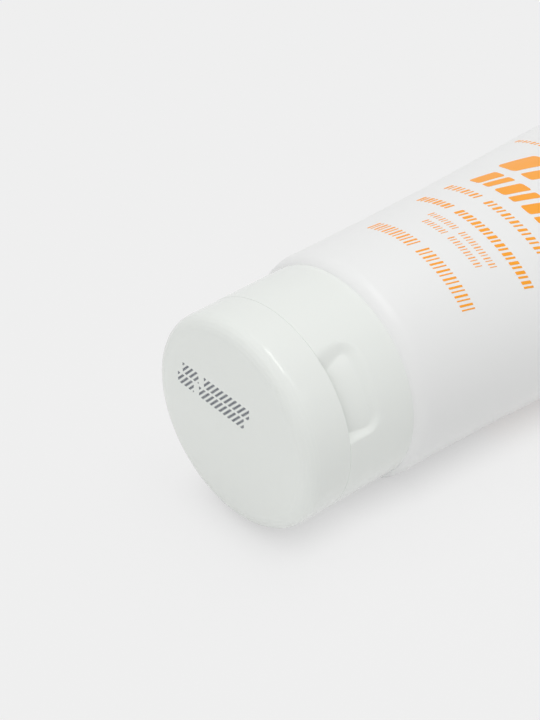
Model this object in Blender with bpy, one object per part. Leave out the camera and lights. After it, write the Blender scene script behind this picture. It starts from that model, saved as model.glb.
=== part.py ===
"""A squeeze tube of cream with a flip-top cap, lying on its side on a table.

Metres, +Z up. The tube's axis is parallel to X: the cap's end face looks along -X and the
sealed end of the sleeve lies at +X. The origin is on the table, below the middle of the tube.
"""

import math

import bmesh
import bpy
from mathutils import Matrix, Vector

MM = 0.001

# Whole tube
TUBE_LENGTH = 165 * MM            # end face of the lid to the cut edge of the seal
TUBE_RADIUS = 25 * MM
TUBE_ROLL = math.radians(16.6)    # the sleeve's printed side leans this far from +Z towards -Y
CAP_TURN = math.radians(56.4)     # the thumb recess leans this far from +Z towards -Y
CLEARANCE = 0.3 * MM              # between pieces that touch
SIDES = 48
WELD_SHARE = 0.01                 # of the clearance, points closer than this are one
SMOOTH_ANGLE = math.radians(35)   # sharper edges are shaded as edges
OVERRUN = 2 * MM                  # how far a cutter passes the surface that it opens

# Cap, outside
CAP_HEIGHT = 27 * MM
CAP_STEP = 1.5 * MM               # the tube stands out past the cap's rear edge
CAP_DRAFT = 0.35 * MM             # the cap narrows by this towards its end face
CAP_WALL = 1.2 * MM
CAP_EDGE_CHAMFER = 0.25 * MM

# Lid
LID_HEIGHT = 10.6 * MM            # end face to the parting plane
LID_EDGE_RADIUS = 3.35 * MM
LID_TOP = 1.5 * MM
LID_EDGE_STEPS = 6
PLUG_REACH = 2.1 * MM             # how far the plug enters the spout
PLUG_WALL = 1.1 * MM
PLUG_TIP_TAPER = 0.4 * MM

# Base of the cap
DECK_THICKNESS = 1.4 * MM
RIM_SETBACK = 0.25 * MM           # the deck's rim stands this far inside the thumb recess
RIM_HEIGHT = 1.1 * MM
RIM_WIDTH = 0.9 * MM
SPOUT_HEIGHT = 3.6 * MM
SPOUT_BORE_RADIUS = 2.65 * MM
SPOUT_TIP_WALL = 1.1 * MM
SPOUT_ROOT_WALL = 2.0 * MM
SPOUT_TIP_ROUND = 0.4 * MM
COLLAR_WALL = 1.3 * MM
SEAL_REACH = 4.6 * MM
SEAL_WALL = 1.0 * MM

# Thumb recess in the base, below the lid's edge
RECESS_WIDTH_ANGLE = math.radians(50.5)
RECESS_LENGTH = 8.9 * MM
RECESS_CORNER_RADIUS = 3 * MM
RECESS_DEPTH = 2.8 * MM
RECESS_FAR_DEPTH = 1.5 * MM
RECESS_WALL = 1.1 * MM
RECESS_STEPS = 14

# Neck and shoulder of the tube's head
NECK_RADIUS = 10 * MM
BORE_RADIUS = 7.5 * MM
NECK_CHAMFER = 0.5 * MM
BEAD_HEIGHT = 0.9 * MM
BEAD_LENGTH = 1.8 * MM
BEAD_SLOPE = 0.4 * MM
CATCH_LENGTH = 1.3 * MM           # the inward bead of the cap's collar, behind the neck's bead
SHOULDER_WALL = 1.5 * MM
SHOULDER_RISE = 3.0 * MM          # from the neck's root to the rim, along X
SKIRT_LENGTH = 5 * MM             # the head's skirt inside the sleeve
SKIRT_WALL = 1.0 * MM

# Sleeve
SLEEVE_WALL = 0.5 * MM
SLEEVE_EDGE_RADIUS = 3 * MM
SLEEVE_EDGE_STEPS = 4
ROUND_LENGTH = 2 * MM             # the sleeve stays round this far past its edge
SEAL_LENGTH = 8 * MM              # the flat sealed band
SEAL_THICKNESS = 1.1 * MM
TAIL_DROOP = 7 * MM               # how far the sealed end hangs below the tube's axis
FLAT_DEPTH = 2.0 * MM             # how far the soft belly is pressed flat by the table
TAPER_POWER = 1.8
TAPER_ROOT = 0.75
DROOP_POWER = 2.5
SQUARE_SHARE = 0.3                # how square the seal's section is, 1 is an ellipse
SAG_SPREAD = math.radians(60)     # the belly sags this far to each side of its lowest line
SAG_FADE_SHARES = (0.4, 0.8)      # along the taper, the sag dies out between these
FLAT_START_SHARE = 0.1            # along the taper, the belly is fully flat from here on
SQUARE_FADE_SHARE = 0.9           # along the taper, the section turns square from here on
BELLY_SHARES = (0, 0.05, 0.12, 0.2, 0.3, 0.4, 0.5, 0.6, 0.7, 0.79, 0.87, 0.93, 0.97, 1)
INNER_SHARES = (0, 0.05, 0.12, 0.2, 0.3, 0.4, 0.5, 0.6, 0.7, 0.79, 0.87, 0.93)

# Cream
CREAM_SHARES = (0.12, 0.2, 0.3, 0.4, 0.5, 0.6)
CREAM_END_SHARE = 0.5             # section of the cream's rounded end, as a share of its last one
CREAM_END_LENGTH = 8 * MM

# Hinge
HINGE_STANDOFF = 0.2 * MM         # the hinge's axis lies this far outside the cap's rear edge
STRAP_THICKNESS = 0.4 * MM
STRAP_LENGTH = 4.4 * MM
STRAP_WIDTH = 5 * MM
STRAP_GAP = 2.2 * MM              # between the spring strap and each film strap
SPRING_WIDTH = 7 * MM
SPRING_LENGTH = 6.4 * MM
SPRING_BOW = 0.35 * MM            # how far the spring strap bulges past the film straps
STRAP_STEPS = 4

# Radii that follow
CAP_REAR_RADIUS = TUBE_RADIUS - CAP_STEP
CAP_END_RADIUS = CAP_REAR_RADIUS - CAP_DRAFT
HINGE_RADIUS = CAP_REAR_RADIUS + HINGE_STANDOFF

# Places along the axis, from the lid's end face
PARTING = LID_HEIGHT
LID_EDGE_X = PARTING - CLEARANCE / 2
DECK_X = PARTING + CLEARANCE / 2
DECK_UNDER_X = DECK_X + DECK_THICKNESS
NECK_TOP_X = DECK_UNDER_X + CLEARANCE
SLEEVE_START = CAP_HEIGHT + CLEARANCE
SLEEVE_EDGE_END = SLEEVE_START + SLEEVE_EDGE_RADIUS
TAPER_START = SLEEVE_EDGE_END + ROUND_LENGTH
TAPER_END = TUBE_LENGTH - SEAL_LENGTH

# Finish of each material
CAP_WHITE = (0.83, 0.84, 0.82)
SLEEVE_WHITE = (0.86, 0.86, 0.85)
CREAM_WHITE = (0.93, 0.90, 0.82)
CAP_ROUGHNESS = 0.25
SLEEVE_ROUGHNESS = 0.3
HEAD_ROUGHNESS = 0.4
CREAM_ROUGHNESS = 0.5


def clear_scene():
    """Remove whatever the file holds."""
    for old in list(bpy.data.objects):
        bpy.data.objects.remove(old, do_unlink=True)


def plastic(name, colour, roughness):
    """A plain Principled material."""
    made = bpy.data.materials.new(name)
    made.use_nodes = True
    shader = made.node_tree.nodes["Principled BSDF"]
    shader.inputs["Base Color"].default_value = (*colour, 1)
    shader.inputs["Roughness"].default_value = roughness
    shader.inputs["Metallic"].default_value = 0
    return made


def empty(name, location, turn, parent):
    """A frame for the pieces of one moving group."""
    frame = bpy.data.objects.new(name, None)
    bpy.context.collection.objects.link(frame)
    frame.parent = parent
    frame.location = location
    frame.rotation_euler = (turn, 0, 0)
    return frame


def add_object(name, mesh_edit, material, parent, origin=Vector()):
    """Turn a bmesh given in the parent's frame into an object whose origin is at a point."""
    bmesh.ops.recalc_face_normals(mesh_edit, faces=mesh_edit.faces)
    bmesh.ops.translate(mesh_edit, verts=mesh_edit.verts, vec=-origin)
    mesh = bpy.data.meshes.new(name)
    mesh_edit.to_mesh(mesh)
    mesh_edit.free()
    mesh.materials.append(material)
    mesh.shade_smooth()
    mesh.set_sharp_from_angle(angle=SMOOTH_ANGLE)
    made = bpy.data.objects.new(name, mesh)
    bpy.context.collection.objects.link(made)
    made.parent = parent
    made.location = origin
    return made


def turned(outline):
    """Turn an outline of (x, radius) points about the X axis into a closed solid."""
    solid = bmesh.new()
    points = [solid.verts.new((x, 0, radius)) for x, radius in outline]
    edges = [solid.edges.new(pair) for pair in zip(points, points[1:])]
    closed_ring = all(radius > 0 for _, radius in outline)
    if closed_ring:
        edges.append(solid.edges.new((points[-1], points[0])))
    bmesh.ops.spin(
        solid, geom=points + edges, cent=(0, 0, 0), axis=(1, 0, 0),
        angle=math.tau, steps=SIDES, use_merge=True)
    bmesh.ops.remove_doubles(solid, verts=solid.verts, dist=CLEARANCE * WELD_SHARE)
    return solid


def lofted(rings):
    """Join rings of equally many points, and close the first and the last."""
    solid = bmesh.new()
    loops = [[solid.verts.new(point) for point in ring] for ring in rings]
    for near, far in zip(loops, loops[1:]):
        for index in range(len(near)):
            after = (index + 1) % len(near)
            solid.faces.new((near[index], near[after], far[after], far[index]))
    solid.faces.new(loops[0])
    solid.faces.new(loops[-1])
    return solid


def arc(centre_x, centre_r, radius, first_degrees, last_degrees, steps):
    """Points of an arc in the (x, radius) plane, both ends included."""
    points = []
    for step in range(steps + 1):
        angle = math.radians(first_degrees + (last_degrees - first_degrees) * step / steps)
        points.append((centre_x + radius * math.cos(angle), centre_r + radius * math.sin(angle)))
    return points


def on_cylinder(x, radius, angle):
    """A point of the cap's frame, at an angle from local +Z about the X axis."""
    return Vector((x, -radius * math.sin(angle), radius * math.cos(angle)))


def smooth_step(value):
    """0 below 0, 1 above 1, and an even blend between."""
    held = min(max(value, 0), 1)
    return held * held * (3 - 2 * held)


def cap_radius(x):
    """Outer radius of the cap, which widens slightly towards the tube."""
    share = (x - LID_EDGE_RADIUS) / (CAP_HEIGHT - LID_EDGE_RADIUS)
    return CAP_END_RADIUS + (CAP_REAR_RADIUS - CAP_END_RADIUS) * share


def cut(target, cutter, operation="DIFFERENCE"):
    """Apply one object to another and keep the first as a hidden guide."""
    cutter.hide_render = True
    cutter.display_type = "WIRE"
    step = target.modifiers.new(cutter.name, "BOOLEAN")
    step.operation = operation
    step.solver = "EXACT"
    step.object = cutter


def half_width(half_height):
    """Half the width of an ellipse as long around as the round sleeve."""
    low = TUBE_RADIUS
    high = TUBE_RADIUS * math.pi / 2
    for _ in range(SIDES):
        width = (low + high) / 2
        root = math.sqrt((3 * width + half_height) * (width + 3 * half_height))
        if 3 * (width + half_height) - root > 2 * TUBE_RADIUS:
            high = width
        else:
            low = width
    return low


def sleeve_ring(share, inset):
    """A section of the sleeve at a share of its taper, drawn in by a wall thickness.

    The section goes from a circle to the flat seal and keeps its length around. The table
    presses its underside flat.
    """
    x = TAPER_START + share * (TAPER_END - TAPER_START)
    swell = (1 - share ** TAPER_POWER) ** TAPER_ROOT
    height = max(TUBE_RADIUS * swell, SEAL_THICKNESS / 2)
    width = half_width(height)
    square = SQUARE_SHARE + (1 - SQUARE_SHARE) * smooth_step((1 - share) / (1 - SQUARE_FADE_SHARE))
    centre = -TAIL_DROOP * share ** DROOP_POWER
    below = math.hypot(width * math.sin(TUBE_ROLL), height * math.cos(TUBE_ROLL))
    aside = (height ** 2 - width ** 2) * math.sin(TUBE_ROLL) * math.cos(TUBE_ROLL) / below
    lowest = math.atan2(aside, below)
    fade_length = SAG_FADE_SHARES[1] - SAG_FADE_SHARES[0]
    fade = 1 - smooth_step((share - SAG_FADE_SHARES[0]) / fade_length)
    sag = (TUBE_RADIUS + centre - below + FLAT_DEPTH * smooth_step(share / FLAT_START_SHARE)) * fade
    floor = inset - TUBE_RADIUS
    ring = []
    for side in range(SIDES):
        angle = math.tau * side / SIDES
        rise = math.copysign(abs(math.sin(angle)) ** square, math.sin(angle))
        flat = Vector((x, (width - inset) * math.cos(angle), (height - inset) * rise))
        point = Matrix.Rotation(TUBE_ROLL, 3, "X") @ flat
        from_below = abs(math.atan2(point.y, -point.z) - lowest)
        point.z += centre - sag * smooth_step(1 - from_below / SAG_SPREAD)
        point.z = max(point.z, floor)
        ring.append(point)
    return ring


def round_ring(x, radius):
    """A round section whose points line up with those of the sleeve's sections."""
    ring = []
    for side in range(SIDES):
        angle = math.tau * side / SIDES + TUBE_ROLL
        ring.append(Vector((x, radius * math.cos(angle), radius * math.sin(angle))))
    return ring


def moved(ring, distance):
    """The same section further along the axis."""
    return [point + Vector((distance, 0, 0)) for point in ring]


def make_sleeve(axis, material):
    """Thin sleeve: curled over the head at one end and sealed flat at the other."""
    edge_radius = TUBE_RADIUS - SLEEVE_EDGE_RADIUS
    outer_edge = arc(SLEEVE_EDGE_END, edge_radius, SLEEVE_EDGE_RADIUS, 180, 90, SLEEVE_EDGE_STEPS)
    inner_radius = SLEEVE_EDGE_RADIUS - SLEEVE_WALL
    inner_edge = arc(SLEEVE_EDGE_END, edge_radius, inner_radius, 90, 180, SLEEVE_EDGE_STEPS)
    rings = [sleeve_ring(share, SLEEVE_WALL) for share in reversed(INNER_SHARES)]
    rings += [round_ring(x, radius) for x, radius in inner_edge]
    rings += [round_ring(x, radius) for x, radius in outer_edge]
    rings += [sleeve_ring(share, 0) for share in BELLY_SHARES]
    rings.append(moved(rings[-1], SEAL_LENGTH))
    return add_object("tube_sleeve", lofted(rings), material, axis)


def shoulder_points():
    """Root and rim of the head's outer cone, as (x, radius)."""
    rim_x = SLEEVE_START + SLEEVE_WALL - CLEARANCE
    rim_radius = TUBE_RADIUS - SLEEVE_EDGE_RADIUS - CLEARANCE
    return (rim_x - SHOULDER_RISE, NECK_RADIUS), (rim_x, rim_radius)


def make_head(axis, material):
    """Moulded head: neck with its snap bead, cone, rim and skirt inside the sleeve."""
    root, rim = shoulder_points()
    bead_end = root[0] - CATCH_LENGTH - 2 * CLEARANCE
    bead_start = bead_end - BEAD_LENGTH
    bead_radius = NECK_RADIUS + BEAD_HEIGHT
    edge_radius = TUBE_RADIUS - SLEEVE_EDGE_RADIUS
    inner_edge = SLEEVE_EDGE_RADIUS - SLEEVE_WALL - CLEARANCE
    skirt_radius = edge_radius + inner_edge
    skirt_end = SLEEVE_EDGE_END + SKIRT_LENGTH
    outline = [
        (NECK_TOP_X, BORE_RADIUS),
        (NECK_TOP_X, NECK_RADIUS - NECK_CHAMFER),
        (NECK_TOP_X + NECK_CHAMFER, NECK_RADIUS),
        (bead_start, NECK_RADIUS),
        (bead_start + BEAD_SLOPE, bead_radius),
        (bead_end - BEAD_SLOPE, bead_radius),
        (bead_end, NECK_RADIUS),
        root,
        rim,
        (SLEEVE_EDGE_END - inner_edge, rim[1]),
    ]
    outline += arc(SLEEVE_EDGE_END, edge_radius, inner_edge, 180, 90, SLEEVE_EDGE_STEPS)
    outline += [
        (skirt_end, skirt_radius),
        (skirt_end, skirt_radius - SKIRT_WALL / 2),
        (SLEEVE_EDGE_END, skirt_radius - SKIRT_WALL),
        (rim[0] + SHOULDER_WALL, edge_radius - SHOULDER_WALL),
        (root[0] + SHOULDER_WALL, BORE_RADIUS),
    ]
    return add_object("tube_head", turned(outline), material, axis)


def make_cream(axis, material):
    """Cream that fills the neck, the shoulder and most of the sleeve."""
    root, rim = shoulder_points()
    neck_radius = BORE_RADIUS - CLEARANCE
    skirt_radius = TUBE_RADIUS - SLEEVE_WALL - CLEARANCE - SKIRT_WALL
    start_x = DECK_UNDER_X + SEAL_REACH + CLEARANCE
    behind_cone = SHOULDER_WALL + 2 * CLEARANCE
    inset = SLEEVE_WALL + CLEARANCE
    rings = [
        round_ring(start_x, neck_radius),
        round_ring(root[0] + behind_cone, neck_radius),
        round_ring(rim[0] + behind_cone, rim[1] - SHOULDER_WALL),
        round_ring(SLEEVE_EDGE_END + CLEARANCE, skirt_radius - CLEARANCE),
        round_ring(SLEEVE_EDGE_END + SKIRT_LENGTH, skirt_radius - CLEARANCE),
    ]
    rings += [sleeve_ring(share, inset) for share in CREAM_SHARES]
    last = rings[-1]
    middle = sum(last, Vector()) / len(last)
    shrunk = [middle.lerp(point, CREAM_END_SHARE) for point in last]
    rings.append(moved(shrunk, CREAM_END_LENGTH))
    return add_object("sunscreen_cream", lofted(rings), material, axis)


def recess_block(name, grow, outer_radius, first_x, material, cap):
    """The thumb recess as a solid, grown by a wall, from its floor out to a radius."""
    half_angle = RECESS_WIDTH_ANGLE / 2 + grow / CAP_END_RADIUS
    corner = RECESS_CORNER_RADIUS + grow
    end_x = PARTING + RECESS_LENGTH + grow
    rings = []
    for step in range(RECESS_STEPS + 1):
        angle = half_angle * math.sin(math.pi * (step / RECESS_STEPS - 1 / 2))
        beyond = max(abs(angle) - half_angle + corner / CAP_END_RADIUS, 0) * CAP_END_RADIUS
        far_x = end_x - corner + math.sqrt(max(corner ** 2 - beyond ** 2, 0))
        near_floor = cap_radius(PARTING) - RECESS_DEPTH - grow
        far_floor = cap_radius(PARTING) - RECESS_FAR_DEPTH - grow
        rings.append([
            on_cylinder(first_x, near_floor, angle),
            on_cylinder(far_x, far_floor, angle),
            on_cylinder(far_x, outer_radius, angle),
            on_cylinder(first_x, outer_radius, angle),
        ])
    return add_object(name, lofted(rings), material, cap)


def hinge_slot(name, middle, width, length, material, cap):
    """Cutter for one strap's seat in the cap's wall."""
    floor = cap_radius(PARTING) - STRAP_THICKNESS - CLEARANCE
    shell = strap_solid(
        middle, width + 2 * CLEARANCE, length + 2 * CLEARANCE, floor, HINGE_RADIUS + OVERRUN, 0)
    return add_object(name, shell, material, cap)


def strap_solid(middle, width, length, inner_radius, outer_radius, bow):
    """A curved strap across the parting plane, opposite the thumb recess."""
    rings = []
    for step in range(STRAP_STEPS + 1):
        share = step / STRAP_STEPS
        x = PARTING + length * (share - 1 / 2)
        bulge = bow * math.sin(math.pi * share)
        ring = []
        for radius, edges in ((inner_radius, (-1, 0, 1)), (outer_radius, (1, 0, -1))):
            for edge in edges:
                angle = math.pi + (middle + edge * width / 2) / CAP_END_RADIUS
                ring.append(on_cylinder(x, radius + bulge, angle))
        rings.append(ring)
    return lofted(rings)


def strap_layout():
    """Name, middle, width, length and bow of each strap of the hinge."""
    offset = (SPRING_WIDTH + STRAP_WIDTH) / 2 + STRAP_GAP
    return (
        ("hinge_strap_left", -offset, STRAP_WIDTH, STRAP_LENGTH, 0),
        ("hinge_strap_right", offset, STRAP_WIDTH, STRAP_LENGTH, 0),
        ("hinge_spring", 0, SPRING_WIDTH, SPRING_LENGTH, SPRING_BOW),
    )


def make_straps(cap, material):
    """Two film straps and the spring strap between them."""
    outer = cap_radius(PARTING)
    for name, middle, width, length, bow in strap_layout():
        solid = strap_solid(middle, width, length, outer - STRAP_THICKNESS, outer, bow)
        add_object(name, solid, material, cap)


def base_outline():
    """Outline of the cap's base: spout, deck, rim, skirt, collar and seal ring."""
    root, _ = shoulder_points()
    rim_radius = cap_radius(PARTING) - RECESS_DEPTH - RIM_SETBACK
    spout_x = DECK_X - SPOUT_HEIGHT
    spout_tip = SPOUT_BORE_RADIUS + SPOUT_TIP_WALL
    spout_root = SPOUT_BORE_RADIUS + SPOUT_ROOT_WALL
    rear_inner = CAP_REAR_RADIUS - CAP_WALL
    deck_inner = cap_radius(DECK_UNDER_X) - CAP_WALL
    collar_inner = NECK_RADIUS + BEAD_HEIGHT + CLEARANCE
    collar_outer = collar_inner + COLLAR_WALL
    catch_end = root[0] - CLEARANCE
    catch_start = catch_end - CATCH_LENGTH
    catch_radius = NECK_RADIUS + CLEARANCE
    seal_outer = BORE_RADIUS - CLEARANCE
    seal_inner = seal_outer - SEAL_WALL
    seal_end = DECK_UNDER_X + SEAL_REACH
    return [
        (spout_x, SPOUT_BORE_RADIUS),
        (spout_x, spout_tip - SPOUT_TIP_ROUND),
        (spout_x + SPOUT_TIP_ROUND, spout_tip),
        (DECK_X, spout_root),
        (DECK_X, rim_radius - RIM_WIDTH),
        (DECK_X - RIM_HEIGHT, rim_radius - RIM_WIDTH),
        (DECK_X - RIM_HEIGHT, rim_radius),
        (DECK_X, rim_radius),
        (DECK_X, cap_radius(DECK_X) - CAP_EDGE_CHAMFER),
        (DECK_X + CAP_EDGE_CHAMFER, cap_radius(DECK_X)),
        (CAP_HEIGHT - CAP_EDGE_CHAMFER, CAP_REAR_RADIUS),
        (CAP_HEIGHT, CAP_REAR_RADIUS - CAP_EDGE_CHAMFER),
        (CAP_HEIGHT, rear_inner),
        (DECK_UNDER_X, deck_inner),
        (DECK_UNDER_X, collar_outer),
        (catch_end, collar_outer),
        (catch_end, catch_radius),
        (catch_start + BEAD_SLOPE, catch_radius),
        (catch_start, collar_inner),
        (DECK_UNDER_X, collar_inner),
        (DECK_UNDER_X, seal_outer),
        (seal_end, seal_outer),
        (seal_end, seal_inner),
        (DECK_UNDER_X, seal_inner),
        (DECK_UNDER_X, SPOUT_BORE_RADIUS),
    ]


def make_base(cap, material):
    """The cap's base, with the thumb recess and the seats of the hinge's straps."""
    base = add_object("cap_base", turned(base_outline()), material, cap)
    wall_outer = CAP_END_RADIUS - CAP_WALL / 2
    inside_deck = DECK_X + DECK_THICKNESS / 2
    pocket = recess_block("pocket_wall", RECESS_WALL, wall_outer, inside_deck, material, cap)
    cut(base, pocket, "UNION")
    past_wall = CAP_REAR_RADIUS + OVERRUN
    hollow = recess_block("pocket_hollow", 0, past_wall, PARTING - OVERRUN, material, cap)
    cut(base, hollow)
    return base


def lid_outline():
    """Outline of the lid: rounded edge, skirt, flat top and the hollow plug."""
    spout_x = DECK_X - SPOUT_HEIGHT
    plug_outer = SPOUT_BORE_RADIUS - CLEARANCE
    plug_inner = plug_outer - PLUG_WALL
    plug_end = spout_x + PLUG_REACH
    corner = CAP_END_RADIUS - LID_EDGE_RADIUS
    edge_outer = cap_radius(LID_EDGE_X)
    outline = [(0, 0)]
    outline += arc(LID_EDGE_RADIUS, corner, LID_EDGE_RADIUS, 180, 90, LID_EDGE_STEPS)
    outline += [
        (LID_EDGE_X - CAP_EDGE_CHAMFER, edge_outer),
        (LID_EDGE_X, edge_outer - CAP_EDGE_CHAMFER),
        (LID_EDGE_X, edge_outer - CAP_WALL),
        (LID_EDGE_RADIUS, CAP_END_RADIUS - CAP_WALL),
        (LID_TOP, corner),
        (LID_TOP, plug_outer),
        (plug_end - PLUG_TIP_TAPER, plug_outer),
        (plug_end, plug_outer - PLUG_TIP_TAPER),
        (plug_end, plug_inner),
        (LID_TOP, plug_inner),
        (LID_TOP, 0),
    ]
    return outline


def make_lid(cap, material):
    """The lid, with its origin on the hinge's axis."""
    on_hinge = Vector((PARTING, 0, -HINGE_RADIUS))
    return add_object("lid", turned(lid_outline()), material, cap, on_hinge)


def main():
    clear_scene()
    cap_plastic = plastic("cap_plastic", CAP_WHITE, CAP_ROUGHNESS)
    hinge_plastic = plastic("hinge_plastic", CAP_WHITE, CAP_ROUGHNESS)
    sleeve_plastic = plastic("sleeve_plastic", SLEEVE_WHITE, SLEEVE_ROUGHNESS)
    head_plastic = plastic("head_plastic", SLEEVE_WHITE, HEAD_ROUGHNESS)
    cream = plastic("cream", CREAM_WHITE, CREAM_ROUGHNESS)

    axis = empty("tube_axis", (-TUBE_LENGTH / 2, 0, TUBE_RADIUS), 0, None)
    cap = empty("cap_turn", (0, 0, 0), CAP_TURN, axis)

    make_sleeve(axis, sleeve_plastic)
    make_head(axis, head_plastic)
    make_cream(axis, cream)
    base = make_base(cap, cap_plastic)
    lid = make_lid(cap, cap_plastic)
    for name, middle, width, length, _ in strap_layout():
        seat = hinge_slot(name + "_seat", middle, width, length, hinge_plastic, cap)
        cut(base, seat)
        cut(lid, seat)
    make_straps(cap, hinge_plastic)


main()
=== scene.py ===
"""Looks of the squeeze tube with a flip-top cap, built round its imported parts.

Metres. Most places are worked out in the frame of the tube's axis: x runs from the lid's end
face to the sealed end, and an angle round the cap or the sleeve is taken about that axis.
"""

import math

import bmesh
import bpy
import numpy as np
from mathutils import Matrix, Vector


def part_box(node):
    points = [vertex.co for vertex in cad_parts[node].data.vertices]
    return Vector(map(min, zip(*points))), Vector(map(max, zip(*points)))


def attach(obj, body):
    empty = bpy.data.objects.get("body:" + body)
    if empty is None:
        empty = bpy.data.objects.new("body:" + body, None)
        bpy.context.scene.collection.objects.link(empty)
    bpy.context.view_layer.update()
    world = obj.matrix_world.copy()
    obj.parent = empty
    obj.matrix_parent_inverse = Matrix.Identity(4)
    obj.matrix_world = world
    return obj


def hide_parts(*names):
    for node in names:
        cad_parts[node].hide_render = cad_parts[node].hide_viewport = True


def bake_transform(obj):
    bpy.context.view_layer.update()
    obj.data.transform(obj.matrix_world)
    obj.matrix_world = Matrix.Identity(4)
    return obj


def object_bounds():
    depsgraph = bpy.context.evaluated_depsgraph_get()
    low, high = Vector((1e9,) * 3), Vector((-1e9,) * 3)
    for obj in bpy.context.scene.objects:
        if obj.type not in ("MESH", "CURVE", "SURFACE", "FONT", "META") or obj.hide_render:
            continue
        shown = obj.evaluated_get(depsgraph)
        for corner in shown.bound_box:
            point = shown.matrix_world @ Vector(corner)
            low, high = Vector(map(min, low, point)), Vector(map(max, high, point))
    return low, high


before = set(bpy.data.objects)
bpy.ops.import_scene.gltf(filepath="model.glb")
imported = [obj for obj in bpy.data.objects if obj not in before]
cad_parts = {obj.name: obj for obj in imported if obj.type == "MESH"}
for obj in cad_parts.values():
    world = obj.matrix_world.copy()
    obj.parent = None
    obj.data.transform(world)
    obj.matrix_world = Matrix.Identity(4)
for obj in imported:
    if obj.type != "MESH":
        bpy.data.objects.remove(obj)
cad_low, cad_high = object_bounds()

MM = 0.001

# Driving sizes, as in the part's source
TUBE_RADIUS = 25 * MM
TUBE_ROLL = math.radians(16.6)    # of the sleeve about its axis, towards the camera
CAP_TURN = math.radians(56.4)     # of the thumb recess about the axis, from straight up
CAP_STEP = 1.5 * MM               # the cap's side lies this much inside the tube's
CAP_DRAFT = 0.35 * MM             # the cap narrows this much towards the lid's end face
CAP_WALL = 1.2 * MM
CLEARANCE = 0.3 * MM              # between the solids

# Lengths read from the frame
TUBE_LENGTH = cad_high.x - cad_low.x
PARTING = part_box("lid")[1].x - cad_low.x + CLEARANCE / 2
CAP_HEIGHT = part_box("cap_base")[1].x - cad_low.x
SLEEVE_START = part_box("tube_sleeve")[0].x - cad_low.x
CREAM_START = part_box("sunscreen_cream")[0].x - cad_low.x

# Radii that follow
CAP_REAR_RADIUS = TUBE_RADIUS - CAP_STEP
CAP_END_RADIUS = CAP_REAR_RADIUS - CAP_DRAFT

# Fineness of the meshes
SIDES = 192                       # of the sleeve
SLEEVE_STATIONS = 130
SEAL_APPROACH = (0.5, 0.2, 0.05)  # more stations before the seal, as shares of the last step
CURL_STEPS = 23
CURL_INNER_STEPS = 11
COARSE_ANGLE = math.radians(2.5)
FINE_ANGLE = math.radians(0.45)
FINE_REACH = math.radians(33)     # to each side of the thumb recess and of the hinge
BASE_STEP = 0.3 * MM
LID_STEP = 0.35 * MM
CREAM_STEP = 1.5 * MM
CREAM_STATIONS = 40
CREAM_END_STEPS = 13
FILLET_STEPS = 6
RIB_STEPS = 6                     # along one rib of the seal
WELD = 0.0005 * MM                # points closer than this are one
SMOOTH_ANGLE = math.radians(40)   # steeper edges are shaded sharp

# Seams, far narrower than the solids' working clearance
SEAM = 0.01 * MM                  # between the lid and the base
BASE_EDGE_FILLET = 0.12 * MM
LID_EDGE_FILLET = 0.02 * MM
LID_INSET = 0.06 * MM             # the lid's edge lies this much below the base's
REAR_SEAM = 0.005 * MM            # between the cap and the tube
EDGE_FILLET = 0.22 * MM           # of the other edges
LIP_HEIGHT = 0.14 * MM            # fine raised lip round the cap's rear edge
LIP_WIDTH = 0.3 * MM
LIP_FILLET = 0.03 * MM

# Lid
LID_EDGE_RADIUS = 3.35 * MM
LID_TOP = 1.5 * MM                # thickness of the end wall
LID_DISH = 0.12 * MM              # the end face sinks this much towards its middle
PLUG_REACH = 2.1 * MM             # of the plug into the spout
PLUG_WALL = 1.1 * MM
PLUG_TIP_TAPER = 0.4 * MM
LEDGE_HEIGHT = 1.7 * MM           # finger ledge inside the lid's edge, over the thumb recess
LEDGE_ANGLE = math.radians(24)    # to each side of the recess's middle
LEDGE_FADE = 1 * MM               # over which it runs out at its ends

# Base
DECK_THICKNESS = 1.4 * MM
RIM_SETBACK = 0.25 * MM           # from the lid's finger ledge
RIM_HEIGHT = 1.1 * MM
RIM_WIDTH = 0.9 * MM
SPOUT_HEIGHT = 3.6 * MM
SPOUT_BORE_RADIUS = 2.65 * MM
SPOUT_TIP_WALL = 1.1 * MM
SPOUT_ROOT_WALL = 2.0 * MM
COLLAR_WALL = 1.3 * MM
SEAL_RING_REACH = 4.6 * MM        # of the ring that seals the neck's bore
SEAL_RING_WALL = 1.0 * MM
CATCH_LENGTH = 1.3 * MM           # of the collar's catch behind the neck's bead
CATCH_SLOPE = 0.4 * MM
REAR_FACE_STEPS = 5

# Thumb recess
RECESS_HALF_WIDTH = math.radians(24.4) * CAP_END_RADIUS
RECESS_LENGTH = 9.0 * MM
RECESS_CORNER_RADIUS = 4.3 * MM
RECESS_DEPTH = 1.55 * MM          # at the lid
RECESS_FAR_DEPTH = 0.55 * MM      # towards the tube
RECESS_WALL = 1.1 * MM
RECESS_UPPER_RUN = 3.2            # width of the recess's upper side wall, as a share of its depth
RECESS_LOWER_RUN = 1.4
RECESS_FAR_SLOPE = 2.6 * MM       # width of its far wall
LEDGE_DEPTH = 2.8 * MM            # of the lid's finger ledge, below the cap's side

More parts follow.
